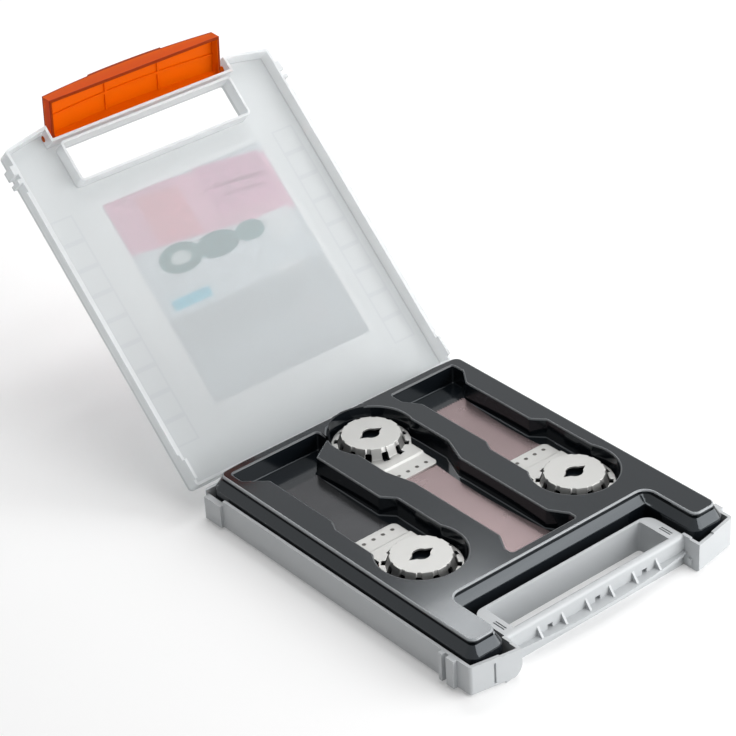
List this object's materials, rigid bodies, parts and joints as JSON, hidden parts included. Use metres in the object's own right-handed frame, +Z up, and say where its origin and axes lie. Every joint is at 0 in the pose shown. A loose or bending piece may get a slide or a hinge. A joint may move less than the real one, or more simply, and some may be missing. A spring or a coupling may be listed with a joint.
{
  "type": "saw blade storage case",
  "caption": "Flat hinged plastic case with a clear lid, snap latch, finger-hole handle and a moulded insert tray that holds oscillating saw blades.",
  "frame": {"origin": "centre of the base shell's flat bottom face", "axes": "+X to the right along the front, +Y from the finger opening to the hinge, +Z up; the lid is stored open"},
  "size_m": [0.1644, 0.344, 0.1589],
  "materials": {
    "grey_plastic": "fine satin",
    "clear_plastic": "frosted translucent",
    "label": "printed film",
    "orange_plastic": "translucent gloss",
    "black_tray": "glossy thermoformed",
    "hub_steel": "stamped satin",
    "strip_steel": "bright rolled",
    "strip_bronze": "bronze tinted"
  },
  "bodies": {
    "base": {"base_shell": "grey_plastic"},
    "lid": {"lid_shell": "clear_plastic", "lid_label": "label"},
    "latch": {"latch": "orange_plastic"},
    "tray": {"tray_insert": "black_tray"},
    "blade_left": {"blade_left_arbor": "hub_steel", "blade_left_strip": "strip_steel"},
    "blade_centre": {"blade_centre_arbor": "hub_steel", "blade_centre_strip": "strip_bronze"},
    "blade_right": {"blade_right_arbor": "hub_steel", "blade_right_strip": "strip_bronze"}
  },
  "joints": [
    {"name": "lid_hinge", "type": "hinge", "parent": "base", "child": "lid", "pos_m": [0, 0.0956, 0.01435], "axis": [-1, 0, 0], "range_deg": [-136.7, 0]},
    {"name": "latch_hinge", "type": "hinge", "parent": "lid", "child": "latch", "pos_m": [0, 0.23881, 0.13811], "axis": [-1, 0, 0], "range_deg": [-40, 50]},
    {"name": "tray_lift", "type": "slide", "parent": "base", "child": "tray", "axis": [0, 0, 1], "range_m": [0, 0.04]},
    {"name": "blade_left_lift", "type": "slide", "parent": "tray", "child": "blade_left", "axis": [0, 0, 1], "range_m": [0, 0.03]},
    {"name": "blade_centre_lift", "type": "slide", "parent": "tray", "child": "blade_centre", "axis": [0, 0, 1], "range_m": [0, 0.03]},
    {"name": "blade_right_lift", "type": "slide", "parent": "tray", "child": "blade_right", "axis": [0, 0, 1], "range_m": [0, 0.03]}
  ]
}
